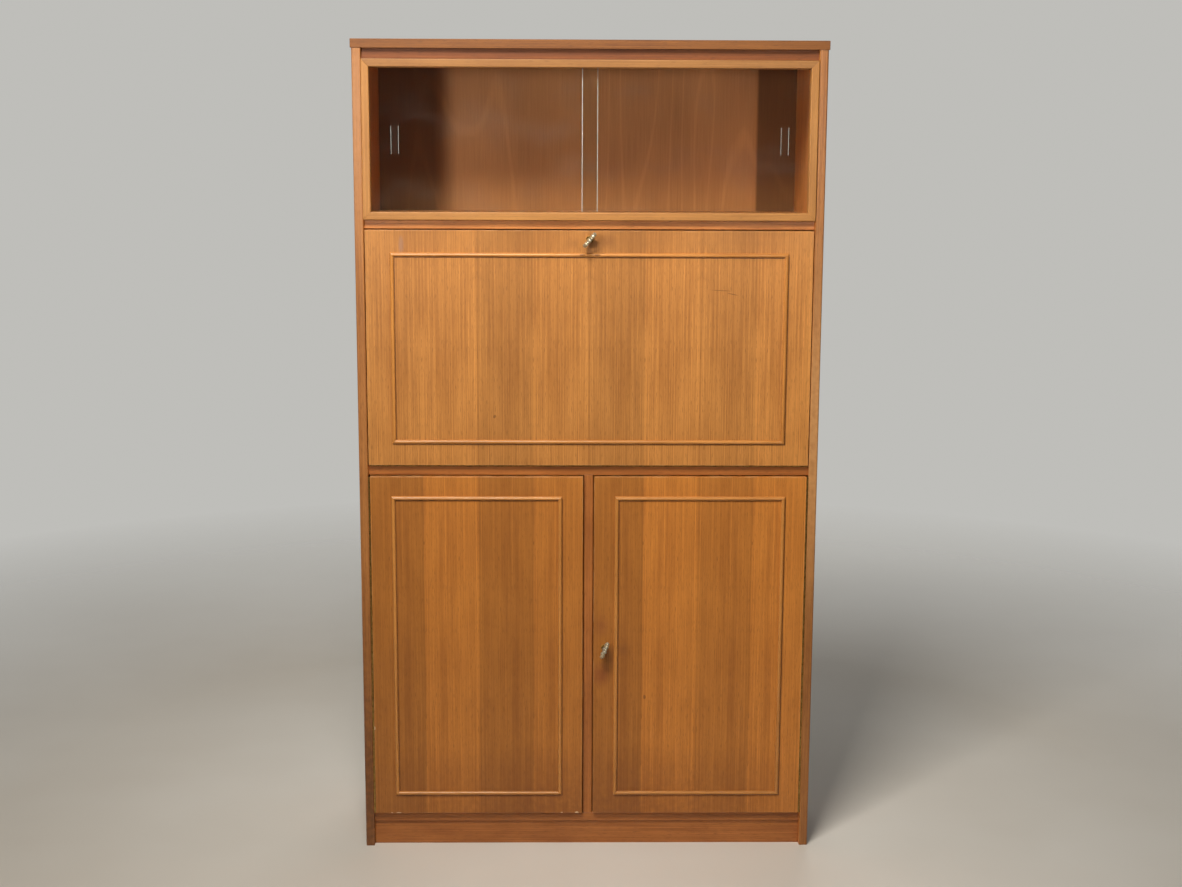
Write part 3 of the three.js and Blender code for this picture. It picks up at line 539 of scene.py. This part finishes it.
CHIP = (2.6 * MM, 6 * MM, 2.2 * MM)
door_chips = [
    (on_front(DOOR_LOW.x, DOOR_LOW.z + 0.203), (2.4 * MM, 5 * MM, 4 * MM), 0.0),
    (on_front(DOOR_LOW.x + 0.037, DOOR_LOW.z), CHIP, 0.0),
    (on_front(DOOR_LOW.x + 0.052, DOOR_LOW.z), (6 * MM, 6 * MM, 2.2 * MM), 0.0),
    (on_front(DOOR_HIGH.x - 0.046, DOOR_LOW.z), CHIP, 0.0),
    (on_front(DOOR_HIGH.x - 0.012, DOOR_LOW.z), (4.5 * MM, 6 * MM, 3.4 * MM), 0.0),
]
door_knot = [(on_front(RIGHT_LOW.x + 0.116, RIGHT_LOW.z + 0.276), (3 * MM, 5 * MM, 5 * MM), 0.0)]
flap_scratches = [
    (on_front(0.285, FLAP_HIGH.z - 0.128), (22 * MM, 4 * MM, 0.9 * MM), 0.05),
    (on_front(0.31, FLAP_HIGH.z - 0.136), (12 * MM, 4 * MM, 1.1 * MM), 0.2),
    (on_front(-0.206, FLAP_HIGH.z - 0.405), (3 * MM, 4 * MM, 4 * MM), 0.5),
]

HAND_GRIME = linear(112, 66, 30)
FLAP_KEY, DOOR_KEY = JOINT_AT["flap_key_turn"], JOINT_AT["door_key_turn"]
flap_grime_and_shading = [
    (on_front(0.034, FLAP_KEY.z - 0.004), (30 * MM, 9 * MM, 20 * MM), HAND_GRIME, 0.5),
    (on_front(-0.036, FLAP_KEY.z - 0.008), (24 * MM, 9 * MM, 15 * MM), HAND_GRIME, 0.3),
    # Painted shade: the flap darker along its top edge.
    (on_front(0.12, FLAP_HIGH.z - 0.005), (0.6, 0.05, 0.07), linear(150, 96, 46), 0.35),
    (on_front(-0.405, FLAP_HIGH.z - 0.032), (7 * MM, 9 * MM, 26 * MM), linear(150, 118, 104), 0.6),
]
# Painted shade: the doors darker towards the bottom, where less light falls.
low_painted_shade = (on_front(0, 0.06), (0.7, 0.05, 0.19), linear(120, 64, 26), 0.55)
BESIDE_KEY = DOOR_KEY.x - 8 * MM
door_grime_and_shading = [
    low_painted_shade,
    (on_front(BESIDE_KEY, DOOR_KEY.z - 62 * MM), (24 * MM, 9 * MM, 34 * MM), linear(126, 58, 30), 0.6),
    (on_front(BESIDE_KEY, DOOR_KEY.z + 50 * MM), (20 * MM, 9 * MM, 30 * MM), linear(134, 70, 40), 0.4),
    (on_front(DOOR_KEY.x + 34 * MM, DOOR_KEY.z - 4 * MM), (34 * MM, 9 * MM, 18 * MM), HAND_GRIME, 0.4),
]
SIDE_EDGE = (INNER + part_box("side_panel_right")[1].x) / 2
# Painted light and shade on the side panels: darker low on the left, paler at mid height on the right and high up
# on the left.
side_painted_light = [
    (on_front(-SIDE_EDGE, 0.05), (60 * MM, 60 * MM, 0.62), linear(96, 54, 24), 0.8),
    (on_front(SIDE_EDGE, 0.95), (60 * MM, 30 * MM, 0.45), linear(206, 150, 92), 0.8),
    (on_front(-SIDE_EDGE, 1.62), (60 * MM, 30 * MM, 0.3), linear(186, 132, 84), 0.5),
]
BEAD_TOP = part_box("flap_bead")[1].z
# Two small dark marks on the top of the flap's bead, below the key.
bead_dark_marks = [
    (Vector((x, FRONT - BEAD_HEIGHT, BEAD_TOP - 4 * MM)), (7 * MM, 7 * MM, 2.4 * MM), 0.0)
    for x in (-15 * MM, 17 * MM)
]

veneer = {
    "flap": wood(
        "teak_flap", TEAK, "z", "x", FLAP_TONES,
        rim=(FLAP_LOW, FLAP_HIGH), bead=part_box("flap_bead"), stains=flap_scratches, grime_and_shading=flap_grime_and_shading,
    ),
    "door_left": wood(
        "teak_door_left", DOOR_TEAK_IN_SHADE, "z", "x", DOOR_TONES, spread=0.72,
        rim=(DOOR_LOW, DOOR_HIGH), bead=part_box("door_left_bead"), chips=door_chips, grime_and_shading=[low_painted_shade],
    ),
    "door_right": wood(
        "teak_door_right", DOOR_TEAK_IN_SHADE, "z", "x", DOOR_TONES, spread=0.72,
        rim=(RIGHT_LOW, RIGHT_HIGH), bead=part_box("door_right_bead"), stains=door_knot, grime_and_shading=door_grime_and_shading,
    ),
    "side": wood("teak_side", SIDE, "z", "y", grime_and_shading=side_painted_light, paler_within=INNER),
    "top": wood("teak_top", TOP, "x", roughness=0.55),
    "top_rail": wood("teak_top_rail", TOP_RAIL, "x", roughness=0.55),
    "vitrine_floor": wood("teak_vitrine_floor", VITRINE_EDGE, "x"),
}
edging = {axis: wood(f"teak_edge_{axis}", EDGE, axis) for axis in "xz"}
framing = {axis: wood(f"teak_frame_{axis}", FRAME, axis, spread=0.7, roughness=0.5) for axis in "xz"}
frame_top = wood("teak_frame_top", FRAME_TOP, "x", spread=0.7, roughness=0.5)
beading = {
    axis: wood(f"teak_bead_{axis}", LIT_BEAD, axis, spread=0.7, stains=bead_dark_marks, roughness=0.27)
    for axis in "xz"
}
inside = {axis: wood(f"teak_inside_{axis}", INSIDE, axis, roughness=0.5) for axis in "xyz"}
back = back_board("back_board", BACK)
brass = metal("brass", linear(226, 190, 116), 0.22, linear(150, 112, 52))
cast_brass = metal(
    "cast_brass", linear(255, 247, 216), 0.22, linear(226, 196, 130), hollows=linear(30, 22, 10), purity=0.58,
)
hinge_brass = metal("hinge_brass", linear(178, 146, 84), 0.34, linear(98, 74, 40))
steel = metal("steel", linear(176, 172, 164), 0.36, linear(112, 104, 94), (900, 900, 60))


def skin(node, material):
    mesh = nodes[node].data
    mesh.materials.clear()
    mesh.materials.append(material)


def soften(node, width):
    """Eases a CAD node's arrises; the weld joins the corners that the import split."""
    obj = nodes[node]
    if "custom_normal" in obj.data.attributes:
        obj.data.attributes.remove(obj.data.attributes["custom_normal"])
    weld = obj.modifiers.new("weld", "WELD")
    weld.merge_threshold = 0.02 * MM
    bevel = obj.modifiers.new("eased_edges", "BEVEL")
    bevel.width = width
    bevel.segments = 2
    bevel.limit_method = "ANGLE"
    bevel.angle_limit = math.radians(35)
    level = obj.modifiers.new("flat_faces", "WEIGHTED_NORMAL")
    level.mode = "FACE_AREA"
    level.weight = 100


finish_of = {
    "side_panel_left": veneer["side"], "side_panel_right": veneer["side"], "top_board": veneer["top"],
    "flap_panel": veneer["flap"], "door_left": veneer["door_left"], "door_right": veneer["door_right"],
    "top_rail": veneer["top_rail"], "vitrine_floor": veneer["vitrine_floor"], "desk_floor": edging["x"],
    "bottom_board": edging["x"], "plinth_board": edging["x"], "centre_post": edging["z"],
    "frame_bottom": framing["x"], "frame_top": frame_top,
    "frame_left": framing["z"], "frame_right": framing["z"],
    "back_panel": back, "cabinet_shelf": inside["x"], "shelf_batten_left": inside["y"],
    "shelf_batten_right": inside["y"], "glass_track_bottom": inside["x"], "glass_track_top": inside["x"],
    "desk_floor_liner": inside["x"], "fitment_shelf": inside["x"], "fitment_upright_left": inside["z"],
    "fitment_upright_centre": inside["z"], "fitment_upright_right": inside["z"],
    "drawer_left": inside["x"], "drawer_right": inside["x"],
}
for node, material in finish_of.items():
    skin(node, material)
    soften(node, 0.9 * MM)

of_brass = [
    "flap_lock_bolt", "door_lock_bolt", "flap_escutcheon", "door_escutcheon", "stay_bracket_left",
    "stay_bracket_right", "stay_rod_left", "stay_rod_right", "stay_guide_left", "stay_guide_right",
    "ball_catch", "drawer_knob_left", "drawer_knob_right",
]
of_steel = [
    "flap_hinge_pin", "door_left_hinge_pin", "door_right_hinge_pin", "flap_lock_case", "door_lock_case",
]
for names, material, width in ((of_brass, brass, 0.25 * MM), (of_steel, steel, 0.2 * MM)):
    for node in names:
        skin(node, material)
        soften(node, width)
for hinge in ("flap_hinge", "door_left_hinge", "door_right_hinge"):
    for leaf in ("fixed", "moving"):
        skin(f"{hinge}_leaf_{leaf}", hinge_brass)

PULL_HALF = Vector((8.5 * MM, 0, 29.5 * MM))
PULL_IN = 67 * MM
PULL_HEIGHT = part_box("frame_bottom")[0].z + 168.5 * MM
for side, name in ((-1, "glass_pane_left"), (1, "glass_pane_right")):
    centre = Vector((side * (INNER - PULL_IN), 0, PULL_HEIGHT))
    skin(name, pane_glass(name, *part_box(name), centre - PULL_HALF, centre + PULL_HALF))
    soften(name, 0.2 * MM)


# ---------------------------------------------------------------- mesh building

def make(name, verts, faces, material, body, smooth=True, replaces=()):
    """A mesh object of one material that moves with a body."""
    mesh = bpy.data.meshes.new(name)
    mesh.from_pydata([tuple(v) for v in verts], [], faces)
    mesh.validate()
    bm = bmesh.new()
    bm.from_mesh(mesh)
    bmesh.ops.recalc_face_normals(bm, faces=bm.faces)
    bm.to_mesh(mesh)
    bm.free()
    for polygon in mesh.polygons:
        polygon.use_smooth = smooth
    mesh.materials.append(material)
    obj = bpy.data.objects.new(name, mesh)
    bpy.context.scene.collection.objects.link(obj)
    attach(obj, body)
    if replaces:
        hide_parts(*replaces)
    return obj


class Solid:
    """Vertices and faces gathered from several closed shells."""

    def __init__(self):
        self.verts, self.faces = [], []

    def rings(self, rings, closed=False):
        """A skin over equal rings of points, closed into a loop or capped at its ends."""
        base, count = len(self.verts), len(rings[0])
        for ring in rings:
            self.verts.extend(Vector(point) for point in ring)
        last = len(rings) if closed else len(rings) - 1
        for i in range(last):
            here, there = base + i * count, base + ((i + 1) % len(rings)) * count
            for j in range(count):
                k = (j + 1) % count
                self.faces.append((here + j, here + k, there + k, there + j))
        if not closed:
            self.faces.append(tuple(base + j for j in reversed(range(count))))
            self.faces.append(tuple(base + (len(rings) - 1) * count + j for j in range(count)))
        return self

    def turned(self, origin, direction, profile, sides=20):
        """A turned shape: profile is [(distance along direction, radius), ...]."""
        axis = Vector(direction).normalized()
        side = axis.orthogonal().normalized()
        other = axis.cross(side)
        turns = [2 * math.pi * i / sides for i in range(sides)]
        return self.rings([
            [Vector(origin) + axis * d + (side * math.cos(t) + other * math.sin(t)) * r for t in turns]
            for d, r in profile
        ])

    def tube(self, path, radius, sides=12, closed=False, flat=1.0):
        """A round bar along a path that stays in a plane of constant x; flat scales it along x."""
        rings = []
        count = len(path)
        up = Vector((1, 0, 0))
        for i, point in enumerate(path):
            before = path[(i - 1) % count] if closed else path[max(i - 1, 0)]
            after = path[(i + 1) % count] if closed else path[min(i + 1, count - 1)]
            ahead = (Vector(after) - Vector(before)).normalized()
            across = ahead.cross(up).normalized()
            size = radius(i / (count - 1)) if callable(radius) else radius
            rings.append([
                Vector(point) + (across * math.cos(t) + up * flat * math.sin(t)) * size
                for t in (2 * math.pi * j / sides for j in range(sides))
            ])
        return self.rings(rings, closed=closed)


# ---------------------------------------------------------------- beads: four mitred strips on each panel

def bead_profile():
    """[(inset, forward), ...] of a half-round moulding with a small fillet at each foot."""
    steps = 14
    half = BEAD_WIDTH / 2
    fillet, foot_height = 0.35 * MM, 0.5 * MM
    points = [(BEAD_WIDTH, 0.0)]
    for i in range(steps + 1):
        angle = math.pi * i / steps
        inset = half + (half - fillet) * math.cos(angle)
        points.append((inset, foot_height + (BEAD_HEIGHT - foot_height) * math.sin(angle)))
    points.append((0.0, 0.0))
    return points


# (name, first corner, direction in x and z, axis of the fibres) of each strip in a bead frame
STRIPS = [
    ("bottom", 0, (1, 0), "x"),
    ("right", 1, (0, 1), "z"),
    ("top", 2, (-1, 0), "x"),
    ("left", 3, (0, -1), "z"),
]


def bead_strips(node):
    low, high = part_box(node)
    corners = [(low.x, low.z), (high.x, low.z), (high.x, high.z), (low.x, high.z)]
    inward = [(1, 1), (-1, 1), (-1, -1), (1, -1)]
    foot = high.y
    shrink = 0.03 * MM                               # the mitres just close
    for side, first, (along_x, along_z), axis in STRIPS:
        rings = []
        for end, shift in ((first, shrink), ((first + 1) % 4, -shrink)):
            (x, z), (in_x, in_z) = corners[end], inward[end]
            rings.append([
                (x + in_x * inset + shift * along_x, foot - forward, z + in_z * inset + shift * along_z)
                for inset, forward in bead_profile()
            ])
        solid = Solid().rings(rings)
        strip = make(
            f"{node}_{side}", solid.verts, solid.faces, beading[axis], BODY_OF[node],
            replaces=(node,),
        )
        mark_sharp(strip, 50)


def mark_sharp(obj, angle):
    bpy.context.view_layer.objects.active = obj
    obj.select_set(True)
    bpy.ops.object.shade_smooth_by_angle(angle=math.radians(angle))
    obj.select_set(False)


for bead in ("flap_bead", "door_left_bead", "door_right_bead"):
    bead_strips(bead)


# ---------------------------------------------------------------- keys

def ball(solid, centre, radius):
    steps = 7
    arc = [math.pi * (i + 0.5) / steps for i in range(steps)]
    solid.turned(centre, (0, 1, 0), [(-radius * math.cos(t), radius * math.sin(t)) for t in arc], 14)


def cast_key(node, tilt):
    """A cast brass key: beaded, pierced oval bow with scrolls, turned collar and shaft.

    It is made upright about its own axis, then tilted clockwise as seen from the front.
    """
    axis = JOINT_AT[f"{node}_turn"]
    low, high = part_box(node)
    reach = FRONT - low.y
    half_long, half_wide = 11.0 * MM, 15.6 * MM
    scroll_middle = 7.4 * MM
    centre = -reach + half_long + 4.0 * MM
    key = Solid()

    def on_oval(turn):
        return Vector((0, centre - half_long * math.cos(turn), half_wide * math.sin(turn)))

    key.tube([on_oval(2 * math.pi * i / 48) for i in range(48)], 2.0 * MM, closed=True, flat=1.35)
    beads = 16
    for i in range(beads):
        ball(key, on_oval(2 * math.pi * i / beads), (4.8 if i % 2 == 0 else 3.3) * MM)
    for half in (-1, 1):
        scroll = []
        for i in range(26):
            t = i / 25
            turn = math.radians(-60 + 330 * t)
            radius = (5.4 - 3.2 * t) * MM
            across = scroll_middle + radius * math.sin(turn)
            scroll.append(Vector((0, centre - radius * math.cos(turn), half * across)))
        key.tube(scroll, lambda t: (1.5 - 0.4 * t) * MM, sides=10)
        lobe = [(-3.0, 1.0), (-1.6, 4.2), (0.6, 5.0), (2.6, 4.0), (4.0, 2.0), (4.6, 0.4)]
        key.turned((0, centre, half * half_wide), (0, 0, half), [(d * MM, r * MM) for d, r in lobe], 18)
    key.tube([Vector((0, centre - half_long, 0)), Vector((0, centre + half_long, 0))], 1.6 * MM, sides=10)
    collar_from = centre + half_long - 0.6 * MM
    shaft_end = high.y - FRONT
    rings = [(0, 2.4), (0.6, 3.4), (1.6, 4.4), (2.6, 3.2), (3.2, 2.8), (4.0, 4.0), (4.8, 4.0), (5.6, 2.5)]
    collar = [(collar_from + d * MM, r * MM) for d, r in rings]
    shaft = [(shaft_end - 0.5 * MM, 2.35 * MM), (shaft_end, 1.9 * MM)]
    key.turned((0, 0, 0), (0, 1, 0), collar + shaft, 24)
    obj = make(node + "_cast", key.verts, key.faces, cast_brass, "root")
    fuse = obj.modifiers.new("fuse", "REMESH")
    fuse.mode = "VOXEL"
    fuse.voxel_size = 0.3 * MM
    fuse.use_smooth_shade = True
    relax = obj.modifiers.new("relax", "SMOOTH")
    relax.factor = 0.5
    relax.iterations = 3
    bpy.context.view_layer.objects.active = obj
    obj.select_set(True)
    for modifier in ("fuse", "relax"):
        bpy.ops.object.modifier_apply(modifier=modifier)
    obj.select_set(False)
    turn = Matrix.Translation((axis.x, FRONT, axis.z)) @ Matrix.Rotation(math.radians(tilt), 4, "Y")
    obj.parent = None
    obj.matrix_world = Matrix.Identity(4)
    obj.data.transform(turn)
    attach(obj, BODY_OF[node])
    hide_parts(node)


cast_key("flap_key", 40)                             # degrees, as they hang in the locks
cast_key("door_key", 23)


# ---------------------------------------------------------------- screws and rosettes

def screw_heads(name, places, normal, radius, material, body):
    """Countersunk slotted heads standing a hair proud, each slot at its own angle."""
    rng = random.Random(name)
    normal = Vector(normal).normalized()
    heads = Solid()
    for place in places:
        turn = rng.uniform(0, math.pi)
        side = Matrix.Rotation(turn, 3, normal) @ normal.orthogonal().normalized()
        other = normal.cross(side)
        slot_half = 0.16                                 # half the slot's width, in radii
        gap, deep, rise = radius * slot_half, radius * 0.35, 0.35 * MM
        start = math.asin(slot_half)
        for half in (-1, 1):
            angles = [start + (math.pi - 2 * start) * i / 9 for i in range(10)]
            arc = [side * math.cos(t) * radius + other * half * math.sin(t) * radius for t in angles]
            low_ring = [Vector(place) + p - normal * deep for p in arc]
            mid_ring = [Vector(place) + p + normal * rise * 0.5 for p in arc]
            lip = other * half * gap
            top_ring = [Vector(place) + lip + (p - lip) * 0.86 + normal * rise for p in arc]
            heads.rings([low_ring, mid_ring, top_ring])
        slot_floor = [(0, radius * 0.9), (deep * 0.8, radius * 0.9)]
        heads.turned(Vector(place) - normal * deep, normal, slot_floor, 16)
    make(name, heads.verts, heads.faces, material, body, smooth=False)


def lock_screws(name, case_node, throw):
    """Screws on the lock's inner face."""
    low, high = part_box(case_node)
    centre = (low + high) / 2
    wide = Vector((0, 0, 1)) if throw == "x" else Vector((1, 0, 0))
    half = (high.z - low.z if throw == "x" else high.x - low.x) / 2 - 5 * MM
    places = [Vector((centre.x, high.y, centre.z)) + wide * half * s for s in (-1, 1)]
    screw_heads(f"{name}_screws", places, (0, 1, 0), 2.6 * MM, steel, BODY_OF[case_node])


lock_screws("flap_lock", "flap_lock_case", "z")
lock_screws("door_lock", "door_lock_case", "x")

for side in ("left", "right"):
    low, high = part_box(f"stay_bracket_{side}")
    centre_x = (low.x + high.x) / 2
    outward = 1 if side == "right" else -1
    foot = FLAP_HIGH.y + 2 * MM
    screw_heads(
        f"stay_bracket_screws_{side}",
        [(centre_x + outward * 4 * MM, foot, z) for z in (low.z + 4.5 * MM, high.z - 4.5 * MM)],
        (0, 1, 0), 2.4 * MM, brass, "flap",
    )
    pivot = JOINT_AT[f"stay_guide_{side}_swivel"]
    profile = [(0, 11), (0.8, 11), (1.6, 9.5), (2.0, 6.5), (2.0, 4.6)]
    rosette = Solid().turned(
        (outward * INNER, pivot.y, pivot.z), (-outward, 0, 0), [(d * MM, r * MM) for d, r in profile], 32,
    )
    mark_sharp(make(f"stay_rosette_{side}", rosette.verts, rosette.faces, brass, "root"), 30)


# ---------------------------------------------------------------- floor, camera and lights

def make_floor():
    half = 14.0
    corners = [(-half, -half, 0), (half, -half, 0), (half, half, 0), (-half, half, 0)]
    mesh = bpy.data.meshes.new("studio_floor")
    mesh.from_pydata(corners, [], [(0, 1, 2, 3)])
    mesh.materials.append(studio_floor("studio_floor"))
    floor = bpy.data.objects.new("studio_floor", mesh)
    bpy.context.scene.collection.objects.link(floor)


make_camera()
make_studio()
make_floor()
